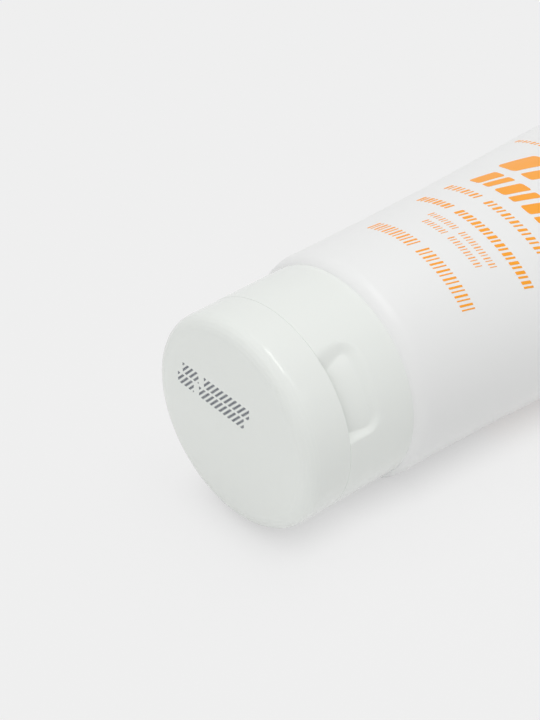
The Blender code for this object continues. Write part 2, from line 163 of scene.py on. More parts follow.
# Head and sleeve
NECK_RADIUS = 10 * MM
BORE_RADIUS = 7.5 * MM
BEAD_HEIGHT = 0.9 * MM
SHOULDER_WALL = 1.5 * MM
SHOULDER_RISE = 3.0 * MM
SKIRT_LENGTH = 5 * MM
SKIRT_WALL = 1.0 * MM
SLEEVE_WALL = 0.5 * MM
CURL_HEIGHT = 3 * MM              # of the sleeve's curled edge, drawn in towards the neck
CURL_LENGTH = 4.2 * MM
CURL_LEAD = 0.55 * MM             # the curl reaches this far into the cap's rear edge
ROUND_LENGTH = 2 * MM             # of the round stretch before the taper
SEAL_LENGTH = 8 * MM
SEAL_THICKNESS = 1.1 * MM
SEAL_RIB_PITCH = 0.9 * MM
SEAL_RIB_DEPTH = 0.13 * MM
TAIL_DROOP = 7 * MM               # of the sealed end below the axis
DROOP_POWER = 2.5
TAPER_POWER = 1.8                 # half the height is radius * (1 - share ** power) ** root
TAPER_ROOT = 0.75
SQUARE_POWER = 0.3                # power of the sine at the seal, where the section is squarer
SQUARE_FADE_SHARE = 0.9           # of the taper; nearer the cap the section is an ellipse
FLAT_DEPTH = 2.0 * MM             # how far the belly is pressed in by the table
FLAT_ROUNDING = 0.3 * MM          # how softly the pressed flat meets the round belly
FLAT_START_SHARE = 0.1            # of the taper, over which the pressing sets in
SAG_SPREAD = math.radians(60)     # to each side of the lowest line
SAG_FADE_SHARES = (0.4, 0.8)      # of the taper, between which the sag fades out
DENT_DEPTH = 0.12 * MM            # slow unevenness of the soft sleeve
DENT_LENGTH = 17 * MM             # of one radian of its wave along the tube
DENT_TWIST = 29 * MM              # of tube over which the wave round it turns by one radian
DENT_START = 1.3                  # in radians
DENT_FADE_SHARE = 0.2             # of the taper, at each of its ends
FLOOR_GAP = 0.05 * MM             # room for the print on the underside
GIRTH_ROUNDS = 48                 # halvings in the search for the section's width

# Cream
CREAM_BODY_SHARES = (0.12, 0.6)   # of the taper, where the cream follows the sleeve
CREAM_END_LENGTH = 8 * MM
CREAM_CORNER = 1 * MM

# Hinge
STRAP_THICKNESS = 0.4 * MM
STRAP_LENGTH = 4.4 * MM
STRAP_WIDTH = 5 * MM
STRAP_GAP = 2.2 * MM
SPRING_WIDTH = 7 * MM
SPRING_LENGTH = 6.4 * MM
SPRING_BOW = 0.2 * MM             # it stands this much proud of the cap at its middle
STRAP_THINNING = 0.45             # of its thickness, where it bends
STRAP_THIN_REACH = 0.5 * MM
SEAT_GAP = 0.12 * MM              # round each strap in its seat
STRAP_BEND = 1.1 * MM             # to each side of the parting plane, where a strap bends
STRAP_STATIONS = 41
STRAP_COLUMNS = 17

# Places along the axis
CURL_END = SLEEVE_START - CURL_LEAD + CURL_LENGTH
HEAD_EDGE_END = SLEEVE_START + CURL_HEIGHT
TAPER_START = HEAD_EDGE_END + ROUND_LENGTH
TAPER_END = TUBE_LENGTH - SEAL_LENGTH
DECK_X = PARTING + SEAM / 2
LID_EDGE_X = PARTING - SEAM / 2
DECK_UNDER_X = PARTING + CLEARANCE / 2 + DECK_THICKNESS
SPOUT_X = PARTING + CLEARANCE / 2 - SPOUT_HEIGHT

# Colours, linear
CAP_WHITE = (0.80, 0.825, 0.795)
SLEEVE_WHITE = (0.83, 0.835, 0.83)
CREAM_WHITE = (0.90, 0.87, 0.78)
ORANGE = (0.96, 0.37, 0.022)
CODE_GREY = (0.035, 0.045, 0.08)
BACKGROUND = 0.863


def to_world(x, y, z):
    """Stack axis-frame coordinates into points of the row frame."""
    x, y, z = np.broadcast_arrays(x, y, z)
    return np.stack([x + cad_low.x, y, z + TUBE_RADIUS], axis=-1)


def smooth_step(value):
    """0 below 0, 1 above 1, and an even blend between."""
    held = np.clip(value, 0, 1)
    return held * held * (3 - 2 * held)


def cap_radius(x):
    """Outer radius of the cap, which widens slightly towards the tube."""
    share = (x - LID_EDGE_RADIUS) / (CAP_HEIGHT - LID_EDGE_RADIUS)
    return CAP_END_RADIUS + (CAP_REAR_RADIUS - CAP_END_RADIUS) * share


def make_object(name, points, faces):
    """A smooth-shaded mesh object from points and faces."""
    mesh = bpy.data.meshes.new(name)
    mesh.from_pydata(points.tolist(), [], faces)
    edit = bmesh.new()
    edit.from_mesh(mesh)
    bmesh.ops.remove_doubles(edit, verts=edit.verts, dist=WELD)
    bmesh.ops.recalc_face_normals(edit, faces=edit.faces)
    edit.to_mesh(mesh)
    edit.free()
    mesh.shade_smooth()
    mesh.set_sharp_from_angle(angle=SMOOTH_ANGLE)
    made = bpy.data.objects.new(name, mesh)
    bpy.context.scene.collection.objects.link(made)
    return made


def grid_faces(rows, columns, offset=0, wrap_rows=False, wrap_columns=True):
    """Quads over a grid of points that is numbered row by row."""
    faces = []
    for row in range(rows if wrap_rows else rows - 1):
        below = (row + 1) % rows
        for column in range(columns if wrap_columns else columns - 1):
            beside = (column + 1) % columns
            faces.append((
                offset + row * columns + column, offset + row * columns + beside,
                offset + below * columns + beside, offset + below * columns + column))
    return faces


def ringed(name, rings, closed):
    """A tube of rings: closed on itself, or shut at both ends."""
    rows, columns, _ = rings.shape
    faces = grid_faces(rows, columns, wrap_rows=closed)
    if not closed:
        faces.append(tuple(range(columns)))
        faces.append(tuple(range((rows - 1) * columns, rows * columns)))
    return make_object(name, rings.reshape(-1, 3), faces)


def rounded(corners, closed):
    """Points of an outline whose corners, given as (x, radius, fillet), are rounded."""
    made = []
    for index, (x, radius, fillet) in enumerate(corners):
        here = np.array((x, radius))
        at_end = not closed and index in (0, len(corners) - 1)
        if at_end or not fillet:
            made.append(here)
            continue
        before = np.array(corners[index - 1][:2]) - here
        after = np.array(corners[(index + 1) % len(corners)][:2]) - here
        before /= np.linalg.norm(before)
        after /= np.linalg.norm(after)
        half = math.acos(before @ after) / 2
        middle = (before + after) / np.linalg.norm(before + after)
        centre = here + middle * fillet / math.sin(half)
        first = here + before * fillet / math.tan(half) - centre
        last = here + after * fillet / math.tan(half) - centre
        turn = math.pi - 2 * half
        for step in range(FILLET_STEPS + 1):
            share = step / FILLET_STEPS
            near = math.sin((1 - share) * turn) / math.sin(turn)
            far = math.sin(share * turn) / math.sin(turn)
            made.append(centre + first * near + last * far)
    return np.array(made)


def refined(outline, longest, closed):
    """The outline with points added so that no stretch is longer than a length."""
    after = np.roll(outline, -1, axis=0) if closed else outline[1:]
    made = []
    for start, end in zip(outline, after):
        count = max(math.ceil(np.linalg.norm(end - start) / longest), 1)
        made.extend(start + (end - start) * step / count for step in range(count))
    if not closed:
        made.append(outline[-1])
    return np.array(made)


def cap_angles():
    """Angles round the cap from the thumb recess, closer together there and at the hinge."""
    coarse = np.arange(-math.pi, math.pi, COARSE_ANGLE)
    fine = np.arange(-FINE_REACH, FINE_REACH, FINE_ANGLE)
    from_hinge = np.pi - np.abs(coarse)
    kept = coarse[(np.abs(coarse) > FINE_REACH) & (from_hinge > FINE_REACH)]
    at_hinge = (fine + math.tau) % math.tau - math.pi
    return np.unique(np.concatenate([kept, fine, at_hinge]))


def cap_rings(x, radius, angles):
    """Points of a turned surface in the row frame; the radius may change with the angle."""
    turned = angles[None, :] + CAP_TURN
    return to_world(x[:, None], -radius * np.sin(turned), radius * np.cos(turned))


def recess_depth(x, angles):
    """How deep the thumb recess is below the cap's side, over a grid."""
    across = np.abs(angles)[None, :] * CAP_END_RADIUS
    along = (x - PARTING)[:, None]
    corner_across = across - (RECESS_HALF_WIDTH - RECESS_CORNER_RADIUS)
    corner_along = along - (RECESS_LENGTH - RECESS_CORNER_RADIUS)
    outside = np.hypot(np.maximum(corner_across, 0), np.maximum(corner_along, 0))
    inside = np.minimum(np.maximum(corner_across, corner_along), 0)
    from_edge = RECESS_CORNER_RADIUS - outside - inside
    far = smooth_step((corner_along - corner_across) / RECESS_CORNER_RADIUS / 2 + 1 / 2)
    floor = RECESS_DEPTH + (RECESS_FAR_DEPTH - RECESS_DEPTH) * np.clip(along / RECESS_LENGTH, 0, 1)
    side_slope = floor * np.where(angles > 0, RECESS_LOWER_RUN, RECESS_UPPER_RUN)[None, :]
    slope = side_slope + (RECESS_FAR_SLOPE - side_slope) * far
    return floor * smooth_step(from_edge / slope)


def strap_layout():
    """Name, replaced node, middle, width, length and bow of each strap of the hinge."""
    offset = (SPRING_WIDTH + STRAP_WIDTH) / 2 + STRAP_GAP
    return (
        ("left_film", "hinge_strap_left", -offset, STRAP_WIDTH, STRAP_LENGTH, 0),
        ("right_film", "hinge_strap_right", offset, STRAP_WIDTH, STRAP_LENGTH, 0),
        ("spring_film", "hinge_spring", 0, SPRING_WIDTH, SPRING_LENGTH, SPRING_BOW),
    )


def seat_depth(x, angles):
    """How deep the seats of the hinge's straps are below the cap's side, over a grid."""
    from_hinge = (angles[None, :] % math.tau - math.pi) * CAP_END_RADIUS
    along = np.abs(x - PARTING)[:, None]
    depth = np.zeros((len(x), len(angles)))
    for _, _, middle, width, length, _ in strap_layout():
        beyond_side = np.abs(from_hinge - middle) - width / 2
        beyond_end = along - length / 2
        beyond = np.maximum(beyond_side, beyond_end)
        inside = 1 - smooth_step(beyond / SEAT_GAP / 2)
        depth = np.maximum(depth, inside * (STRAP_THICKNESS + SEAT_GAP))
    return depth


def rear_x(radius):
    """Where the cap's rear face lies at a radius: close before the sleeve's curled edge."""
    height_share = 1 - (TUBE_RADIUS - radius) / CURL_HEIGHT
    return CURL_END - CURL_LENGTH * math.sqrt(1 - height_share ** 2) - REAR_SEAM


def base_corners():
    """Corners of the base's outline: spout, deck, rim, skirt, collar and seal ring."""
    shoulder_root = SLEEVE_START + SLEEVE_WALL - CLEARANCE - SHOULDER_RISE
    rim_radius = cap_radius(PARTING) - LEDGE_DEPTH - RIM_SETBACK
    rim_x = DECK_X + SEAM - RIM_HEIGHT
    spout_tip = SPOUT_BORE_RADIUS + SPOUT_TIP_WALL
    spout_root = SPOUT_BORE_RADIUS + SPOUT_ROOT_WALL
    lip_radius = CAP_REAR_RADIUS + LIP_HEIGHT
    lip_x = rear_x(lip_radius)
    deck_inner = cap_radius(DECK_UNDER_X) - CAP_WALL
    collar_inner = NECK_RADIUS + BEAD_HEIGHT + CLEARANCE
    collar_outer = collar_inner + COLLAR_WALL
    catch_end = shoulder_root - CLEARANCE
    catch_start = catch_end - CATCH_LENGTH
    catch_radius = NECK_RADIUS + CLEARANCE
    seal_outer = BORE_RADIUS - CLEARANCE
    seal_inner = seal_outer - SEAL_RING_WALL
    seal_end = DECK_UNDER_X + SEAL_RING_REACH
    rear_inner = CAP_REAR_RADIUS - CAP_WALL
    rear_radii = np.linspace(lip_radius, rear_inner, REAR_FACE_STEPS + 1)[1:-1]
    small = EDGE_FILLET
    return [
        (SPOUT_X, SPOUT_BORE_RADIUS, small),
        (SPOUT_X, spout_tip, 2 * small),
        (DECK_X, spout_root, 3 * small),
        (DECK_X, rim_radius - RIM_WIDTH, small),
        (rim_x, rim_radius - RIM_WIDTH, small),
        (rim_x, rim_radius, small),
        (DECK_X, rim_radius, 0),
        (DECK_X, cap_radius(DECK_X), BASE_EDGE_FILLET),
        (lip_x - LIP_WIDTH, cap_radius(lip_x - LIP_WIDTH), LIP_FILLET),
        (lip_x - LIP_WIDTH + LIP_HEIGHT, lip_radius, LIP_FILLET),
        (lip_x, lip_radius, LIP_FILLET / 3),
        *((rear_x(radius), radius, 0) for radius in rear_radii),
        (rear_x(rear_inner), rear_inner, small),
        (DECK_UNDER_X, deck_inner, 2 * small),
        (DECK_UNDER_X, collar_outer, 2 * small),
        (catch_end, collar_outer, small),
        (catch_end, catch_radius, small),
        (catch_start + CATCH_SLOPE, catch_radius, 0),
        (catch_start, collar_inner, 0),
        (DECK_UNDER_X, collar_inner, small),
        (DECK_UNDER_X, seal_outer, small),
        (seal_end, seal_outer, small),
        (seal_end, seal_inner, small),
        (DECK_UNDER_X, seal_inner, small),
        (DECK_UNDER_X, SPOUT_BORE_RADIUS, small),
    ]


def make_base():
    """The base with its softly edged thumb recess and the seats of the hinge."""
    outline = refined(rounded(base_corners(), closed=True), BASE_STEP, closed=True)
    x = outline[:, 0]
    angles = cap_angles()
    radius = np.repeat(outline[:, 1:], len(angles), axis=1)
    side = cap_radius(x)[:, None]
    depth = np.maximum(recess_depth(x, angles), seat_depth(x, angles))
    from_side = np.clip(side - radius, 0, EDGE_FILLET)
    dented = np.minimum(radius, side - depth - from_side)
    is_inner = (x[:, None] > DECK_UNDER_X - WELD) & (radius < side - CAP_WALL + WELD)
    inner = np.minimum(radius, side - recess_depth(x, angles) - RECESS_WALL)
    rings = cap_rings(x, np.where(is_inner, inner, dented), angles)
    return ringed("cap_base_skin", rings, closed=True)


def lid_corners():
    """Corners of the lid's outline, from the middle of its face to the middle of its inside."""
    plug_outer = SPOUT_BORE_RADIUS - CLEARANCE
    plug_inner = plug_outer - PLUG_WALL
    plug_end = SPOUT_X + PLUG_REACH
    small = EDGE_FILLET
    return [
        (LID_DISH, 0, 0),
        (0, CAP_END_RADIUS, LID_EDGE_RADIUS),
        (LID_EDGE_X, cap_radius(LID_EDGE_X) - LID_INSET, LID_EDGE_FILLET),
        (LID_EDGE_X, cap_radius(LID_EDGE_X) - CAP_WALL, small),
        (LID_TOP, CAP_END_RADIUS - CAP_WALL, LID_EDGE_RADIUS - CAP_WALL),
        (LID_TOP, plug_outer, 2 * small),
        (plug_end - PLUG_TIP_TAPER, plug_outer, small),
        (plug_end, plug_outer - PLUG_TIP_TAPER, small),
        (plug_end, plug_inner, small),
        (LID_TOP, plug_inner, small),
        (LID_TOP, 0, 0),
    ]


def make_lid():
    """The lid, with the finger ledge that hangs over the thumb recess."""
    outline = refined(rounded(lid_corners(), closed=False), LID_STEP, closed=False)
    x = outline[:, 0]
    angles = cap_angles()
    radius = np.repeat(outline[:, 1:], len(angles), axis=1)
    side = cap_radius(x)[:, None]
    ledge_radius = cap_radius(PARTING) - LEDGE_DEPTH
    near_edge = smooth_step((x - LID_EDGE_X + LEDGE_HEIGHT) / EDGE_FILLET / 2)[:, None]
    from_ledge_end = (LEDGE_ANGLE - np.abs(angles)) * CAP_END_RADIUS
    over_recess = smooth_step(from_ledge_end / LEDGE_FADE)[None, :]
    is_inner = radius < side - CAP_WALL + EDGE_FILLET - WELD
    is_wall = radius > ledge_radius
    ledge = radius - (side - CAP_WALL - ledge_radius) * near_edge * over_recess
    from_side = np.clip(side - radius, 0, EDGE_FILLET)
    outer = np.minimum(radius, side - seat_depth(x, angles) - from_side)
    rings = cap_rings(x, np.where(is_inner & is_wall, ledge, outer), angles)
    return ringed("lid_shell", rings, closed=False)


def make_strap(name, middle, width, length, bow):
    """One strap of the hinge, thinner where it bends and bowed out by a height."""
    stations = np.linspace(-1, 1, STRAP_STATIONS)
    steps = np.linspace(-1, 1, STRAP_COLUMNS)
    x = PARTING + stations * length / 2
    outer = cap_radius(PARTING)
    thinned = 1 - STRAP_THINNING * np.exp(-((x - PARTING) / STRAP_THIN_REACH) ** 2)
    bulge = bow * (1 + np.cos(math.pi * stations)) / 2
    angle = math.pi + (middle + steps * width / 2) / CAP_END_RADIUS
    top = np.repeat((outer + bulge)[:, None], len(steps), axis=1)
    bottom = np.repeat((outer + bulge - STRAP_THICKNESS * thinned)[:, None], len(steps), axis=1)
    top_points = cap_rings(x, top, angle)
    bottom_points = cap_rings(x, bottom, angle)
    rings = np.concatenate([top_points, bottom_points[:, ::-1]], axis=1)
    return ringed(name, rings, closed=False)


def half_width(half_height):
    """Half the width of an ellipse as long around as the round sleeve."""
    low = np.full_like(half_height, TUBE_RADIUS)
    high = low * math.pi / 2
    for _ in range(GIRTH_ROUNDS):
        width = (low + high) / 2
        root = np.sqrt((3 * width + half_height) * (width + 3 * half_height))
        too_long = 3 * (width + half_height) - root > 2 * TUBE_RADIUS
        high = np.where(too_long, width, high)
        low = np.where(too_long, low, width)
    return low


def sleeve_point(x, angle, inset):
    """Points of the sleeve in the row frame, drawn in by an inset; x and angle broadcast."""
    x, angle = np.broadcast_arrays(x, angle)
    share = np.clip((x - TAPER_START) / (TAPER_END - TAPER_START), 0, 1)
    height = np.maximum(TUBE_RADIUS * (1 - share ** TAPER_POWER) ** TAPER_ROOT, SEAL_THICKNESS / 2)
    width = half_width(height)
    from_seal = smooth_step((1 - share) / (1 - SQUARE_FADE_SHARE))
    power = SQUARE_POWER + (1 - SQUARE_POWER) * from_seal
    centre = -TAIL_DROOP * share ** DROOP_POWER
    below = np.hypot(width * math.sin(TUBE_ROLL), height * math.cos(TUBE_ROLL))
    aside = (height ** 2 - width ** 2) * math.sin(TUBE_ROLL) * math.cos(TUBE_ROLL) / below
    lowest = np.arctan2(aside, below)
    fade_start, fade_end = SAG_FADE_SHARES
    fade = 1 - smooth_step((share - fade_start) / (fade_end - fade_start))
    pressed = FLAT_DEPTH * smooth_step(share / FLAT_START_SHARE)
    sag = (TUBE_RADIUS + centre - below + pressed) * fade
    rise = np.copysign(np.abs(np.sin(angle)) ** power, np.sin(angle))
    past_taper = x - TAPER_END
    rib = SEAL_RIB_DEPTH * (1 - np.cos(math.tau * past_taper / SEAL_RIB_PITCH)) / 2
    rib = np.where((past_taper > 0) & (past_taper < SEAL_LENGTH - SEAL_RIB_PITCH / 2), rib, 0)
    waves = np.sin(x / DENT_LENGTH + DENT_START) * np.sin(2 * angle + x / DENT_TWIST)
    ends = smooth_step(share / DENT_FADE_SHARE) * smooth_step((1 - share) / DENT_FADE_SHARE)
    dent = DENT_DEPTH * waves * ends
    across = (width - inset - dent) * np.cos(angle)
    up = (height - inset - dent - rib) * rise
    y = across * math.cos(TUBE_ROLL) - up * math.sin(TUBE_ROLL)
    z = across * math.sin(TUBE_ROLL) + up * math.cos(TUBE_ROLL)
    from_below = np.abs(np.arctan2(y, -z) - lowest)
    z = z + centre - sag * smooth_step(1 - from_below / SAG_SPREAD)
    table = inset + FLOOR_GAP - TUBE_RADIUS
    return to_world(x, y, (z + table + np.hypot(z - table, FLAT_ROUNDING)) / 2)


def curl_rings(inset, degrees, angle):
    """Rings round the sleeve's curled edge, drawn in by an inset."""
    turn = np.radians(degrees)
    x = CURL_END + (CURL_LENGTH - inset) * np.cos(turn)
    ring_radius = TUBE_RADIUS - CURL_HEIGHT + (CURL_HEIGHT - inset) * np.sin(turn)
    turned = angle + TUBE_ROLL
    return to_world(
        x[:, None], ring_radius[:, None] * np.cos(turned), ring_radius[:, None] * np.sin(turned))


def make_sleeve():
    """The soft sleeve: curled edge, round body, flat ribbed seal, and its inner wall."""
    angle = np.arange(SIDES) * math.tau / SIDES
    body = np.linspace(CURL_END, TAPER_END, SLEEVE_STATIONS)
    near_seal = TAPER_END - (TAPER_END - body[-2]) * np.array(SEAL_APPROACH)
    rib_steps = np.arange(1, 1 + round(SEAL_LENGTH / SEAL_RIB_PITCH * RIB_STEPS))
    seal = TAPER_END + rib_steps * SEAL_RIB_PITCH / RIB_STEPS
    seal = np.append(seal[seal < TUBE_LENGTH - SEAL_RIB_PITCH / 8], TUBE_LENGTH)
    outer_x = np.concatenate([np.sort(np.concatenate([body, near_seal])), seal])
    inner_x = body[body < TAPER_END - 2 * SEAL_LENGTH][::-2]
    parts = [
        sleeve_point(inner_x[:, None], angle[None, :], SLEEVE_WALL),
        curl_rings(SLEEVE_WALL, np.linspace(90, 180, CURL_INNER_STEPS + 1)[1:], angle),
        curl_rings(0, np.linspace(180, 90, CURL_STEPS + 1)[:-1], angle),
        sleeve_point(outer_x[:, None], angle[None, :], 0),
    ]
    return ringed("sleeve_skin", np.concatenate(parts), closed=False)


def make_cream():
    """The cream inside: neck, shoulder and body, with a rounded end below the air space."""
    angle = np.arange(SIDES // 2) * math.tau / (SIDES // 2)
    shoulder_rim_x = SLEEVE_START + SLEEVE_WALL - CLEARANCE
    shoulder_root_x = shoulder_rim_x - SHOULDER_RISE
    rim_radius = TUBE_RADIUS - CURL_HEIGHT - CLEARANCE
    behind = SHOULDER_WALL + 2 * CLEARANCE
    skirt_inner = TUBE_RADIUS - SLEEVE_WALL - 2 * CLEARANCE - SKIRT_WALL
    corners = [
        (CREAM_START, 0, 0),
        (CREAM_START, BORE_RADIUS - CLEARANCE, 2 * EDGE_FILLET),
        (shoulder_root_x + behind, BORE_RADIUS - CLEARANCE, CREAM_CORNER),
        (shoulder_rim_x + behind, rim_radius - SHOULDER_WALL, CREAM_CORNER),
        (HEAD_EDGE_END + CLEARANCE, skirt_inner, CREAM_CORNER),
        (HEAD_EDGE_END + SKIRT_LENGTH, skirt_inner, 0),
    ]
    front = refined(rounded(corners, closed=False), CREAM_STEP, closed=False)
    turned = angle[None, :] + TUBE_ROLL
    radius = front[:, 1:]
    front_rings = to_world(front[:, :1], radius * np.cos(turned), radius * np.sin(turned))
    taper = TAPER_END - TAPER_START
    start, end = (TAPER_START + share * taper for share in CREAM_BODY_SHARES)
    body_x = np.linspace(start, end, CREAM_STATIONS)
    body = sleeve_point(body_x[:, None], angle[None, :], SLEEVE_WALL + CLEARANCE)
    last = body[-1]
    middle = last.mean(axis=0)
    tip = []
    for turn in np.linspace(0, math.pi / 2, CREAM_END_STEPS + 1)[1:]:
        shifted = middle + (last - middle) * math.cos(turn)
        tip.append(shifted + np.array((CREAM_END_LENGTH * math.sin(turn), 0, 0)))
    return ringed("cream_fill", np.concatenate([front_rings, body, tip]), closed=False)


def sleeve_frame(x, angle):
    """Point and outward direction on the sleeve."""
    step = 0.05 * MM
    turn = step / TUBE_RADIUS
    point = sleeve_point(x, angle, 0)
    along = sleeve_point(x + step, angle, 0) - point
    around = sleeve_point(x, angle + turn, 0) - point
    normal = np.cross(around, along)
    return point, normal / np.linalg.norm(normal, axis=-1, keepdims=True)


def slab(points, normals, offset):
    """Points and faces of a film of ink over an open grid of the sleeve's points."""
    rows, columns, _ = points.shape
    top = (points + normals * PRINT_LIFT).reshape(-1, 3)
    bottom = (points - normals * PRINT_SINK).reshape(-1, 3)
    count = rows * columns
    faces = grid_faces(rows, columns, offset, wrap_columns=False)
    faces += [face[::-1] for face in grid_faces(rows, columns, offset + count, wrap_columns=False)]
    rim = list(range(columns))
    rim += [row * columns + columns - 1 for row in range(1, rows)]
    rim += [count - 1 - step for step in range(1, columns)]
    rim += [row * columns for row in range(rows - 2, 0, -1)]
    for index, here in enumerate(rim):
        after = rim[(index + 1) % len(rim)]
        faces.append((offset + after, offset + here, offset + count + here, offset + count + after))
    return np.concatenate([top, bottom]), faces


# Print on the sleeve: plain slanted strokes where the photograph has wording
FRONT_CENTRE = math.radians(90)
BACK_CENTRE = math.radians(270)
PRINT_LIFT = 0.04 * MM
PRINT_SINK = 0.03 * MM
PRINT_SLANT = 0.16                # of the height, towards the camera's side
PRINT_CORNER_SHARE = 0.24         # corner radius, of the lesser of a stroke's width and height
PRINT_CORNER_LIMIT = 3 * MM
PRINT_CORNER_STEPS = 4
PRINT_STEP = 0.45 * MM            # widest step of a stroke's grid
GROUP_GAP_SHARE = 0.7             # of a cell, between two groups
CELL_STROKES = ((0.30, 0.27), (0.76, 0.17))   # place and width of a cell's strokes, as shares
# Foot and height of a row along the axis in mm, first and last angle in degrees, boldness, and
# the number of cells in each group
FRONT_ROWS = (
    (44.9, 3.4, -37, 32, 0.85, (6, 8)),
    (54.2, 1.8, -21, 16, 0.65, (4, 6)),
    (57.5, 1.8, -24, 19, 0.65, (5, 7)),
    (62.6, 2.6, -42, 34, 1.2, (4, 10)),
    (71.3, 2.6, -41, 46, 1.0, (4, 7, 4)),
    (78.3, 8.2, -38, 40, 1.5, (5,)),
    (90.0, 12.7, -41, 38, 1.5, (3,)),
    (109.2, 1.9, -60, 44, 1.0, (6, 4, 7)),
)
BACK_ROWS = (
    (44.0, 1.6, -40, 38, 1.0, (7, 5, 8, 6)),
    (47.6, 1.6, -40, 38, 1.0, (5, 9, 4, 8)),
    (51.2, 1.6, -40, 30, 1.0, (8, 6, 9)),
    (54.8, 1.6, -40, 38, 1.0, (6, 7, 5, 8)),
    (118.0, 1.6, -40, 38, 1.0, (9, 6, 5, 6)),
    (121.6, 1.6, -40, 24, 1.0, (6, 5, 9)),
)
BACK_PANEL = (61.5, 49.0, 116)    # foot and height in mm, width in degrees


def stroke_grid(foot_x, top_x, angle, width, slant):
    """Points and normals over one slanted stroke with rounded corners, from foot to top."""
    corner = min(PRINT_CORNER_SHARE * min(width, top_x - foot_x), PRINT_CORNER_LIMIT)
    turn = np.linspace(0, math.pi / 2, PRINT_CORNER_STEPS + 1)
    ends = corner * (1 - np.cos(turn))
    rows = 2 + math.ceil((top_x - foot_x) / PRINT_STEP)
    middle = np.linspace(foot_x + corner, top_x - corner, rows)
    x = np.concatenate([foot_x + ends[:-1], middle, top_x - ends[::-1][1:]])
    drawn_in = corner * (1 - np.sin(turn))
    half = width / 2 - np.concatenate([drawn_in[:-1], np.zeros(rows), drawn_in[::-1][1:]])
    across = np.linspace(-1, 1, 3 + 2 * round(width / 2 / PRINT_STEP))
    offset = half[:, None] * across[None, :] + slant * (x - foot_x)[:, None]
    return sleeve_frame(x[:, None], angle + offset / TUBE_RADIUS)


def row_strokes(foot, height, first, last, boldness, groups):
    """Foot, top, angle and width of every stroke of a row."""
    cells = sum(groups) + GROUP_GAP_SHARE * (len(groups) - 1)
    pitch = math.radians(last - first) / cells
    place = 0
    for group in groups:
        for cell in range(group):
            for place_share, width_share in CELL_STROKES:
                angle = math.radians(first) + pitch * (place + cell + place_share)
                width = boldness * width_share * pitch * TUBE_RADIUS
                yield foot * MM, (foot + height) * MM, angle, width
        place += group + GROUP_GAP_SHARE


def make_print(name, centre, rows, panels=()):
    """Rows of plain strokes and plain panels laid on the sleeve, centred on an angle."""
    grids = []
    for row in rows:
        for foot_x, top_x, angle, width in row_strokes(*row):
            grids.append(stroke_grid(foot_x, top_x, centre + angle, width, PRINT_SLANT))
    for foot, height, spread in panels:
        width = math.radians(spread) * TUBE_RADIUS
        grids.append(stroke_grid(foot * MM, (foot + height) * MM, centre, width, 0))
    points, faces, offset = [], [], 0
    for grid, normals in grids:
        slab_points, slab_faces = slab(grid, normals, offset)
        points.append(slab_points)
        faces += slab_faces
        offset += len(slab_points)
    return make_object(name, np.concatenate(points), faces)


# Dots on the end face: plain slanted hatching where the photograph has a stamped code
CODE_ROWS = ((13.8, 8.0), (15.4, 5.0))   # left end of each row, (y, z) from the axis in mm
CODE_SLOPE = -0.035               # how much a row falls along its length
CODE_COLUMNS = 61
CODE_LINES = 7
CODE_GAP = (15, 20)               # first column left empty, and the first inked after it
CODE_COLUMN_PITCH = 0.327 * MM
CODE_LINE_PITCH = 0.36 * MM
CODE_DOT_RADIUS = 0.155 * MM
CODE_HATCH = 4                    # columns from one hatch line to the next, half of them inked
DOT_SIDES = 10
DOT_LIFT = 0.03 * MM
DOT_SINK = 0.02 * MM


def code_dots():
    """Middle (y, z) of every inked dot."""
    inked = [column for column in range(CODE_COLUMNS) if column not in range(*CODE_GAP)]
    for left, top in CODE_ROWS:
        for column in inked:
            along = column * CODE_COLUMN_PITCH
            for line in range(CODE_LINES):
                if (column + line) % CODE_HATCH < CODE_HATCH / 2:
                    z = top * MM + CODE_SLOPE * along - line * CODE_LINE_PITCH
                    yield left * MM - along, z


def face_x(distance):
    """How far the slightly dished end face lies behind its rim plane."""
    return LID_DISH * (1 - distance / CAP_END_RADIUS)


def make_code():
    """Two rows of ink dots on the lid's end face."""
    points, faces = [], []
    turns = np.arange(DOT_SIDES) * math.tau / DOT_SIDES
    for number, (y, z) in enumerate(code_dots()):
        x = face_x(math.hypot(y, z))
        ring_y = y + CODE_DOT_RADIUS * np.cos(turns)
        ring_z = z + CODE_DOT_RADIUS * np.sin(turns)
        points.append(to_world(x - DOT_LIFT, ring_y, ring_z))
        points.append(to_world(x + DOT_SINK, ring_y, ring_z))
        start = 2 * DOT_SIDES * number
        faces.append(tuple(range(start, start + DOT_SIDES)))
        faces.append(tuple(range(start + 2 * DOT_SIDES - 1, start + DOT_SIDES - 1, -1)))
        for corner in range(DOT_SIDES):
            here = start + corner
            after = start + (corner + 1) % DOT_SIDES
            faces.append((after, here, here + DOT_SIDES, after + DOT_SIDES))
    return make_object("code_dots", np.concatenate(points), faces)


# Materials: how many times per metre their slow drift changes, and the shares of colour and
# roughness at its two ends
DRIFT_SCALE = 45
COLOUR_DRIFT = (0.99, 1.008)
GLOSS_DRIFT = (0.85, 1.2)
# Colour, roughness, scale and depth of the grain, and specular level
PLASTICS = {
    "cap_plastic": (CAP_WHITE, 0.13, 900, 0.002 * MM, 0.5),
    "sleeve_film": (SLEEVE_WHITE, 0.3, 700, 0.003 * MM, 0.3),
    "head_plastic": (SLEEVE_WHITE, 0.4, 900, 0.006 * MM, 0.5),
    "cream": (CREAM_WHITE, 0.35, 300, 0.03 * MM, 0.5),
    "hinge_plastic": (CAP_WHITE, 0.14, 900, 0.002 * MM, 0.5),
    "orange_ink": (ORANGE, 0.3, 1500, 0.003 * MM, 0.25),
    "code_ink": (CODE_GREY, 0.55, 2500, 0.004 * MM, 0.5),
}


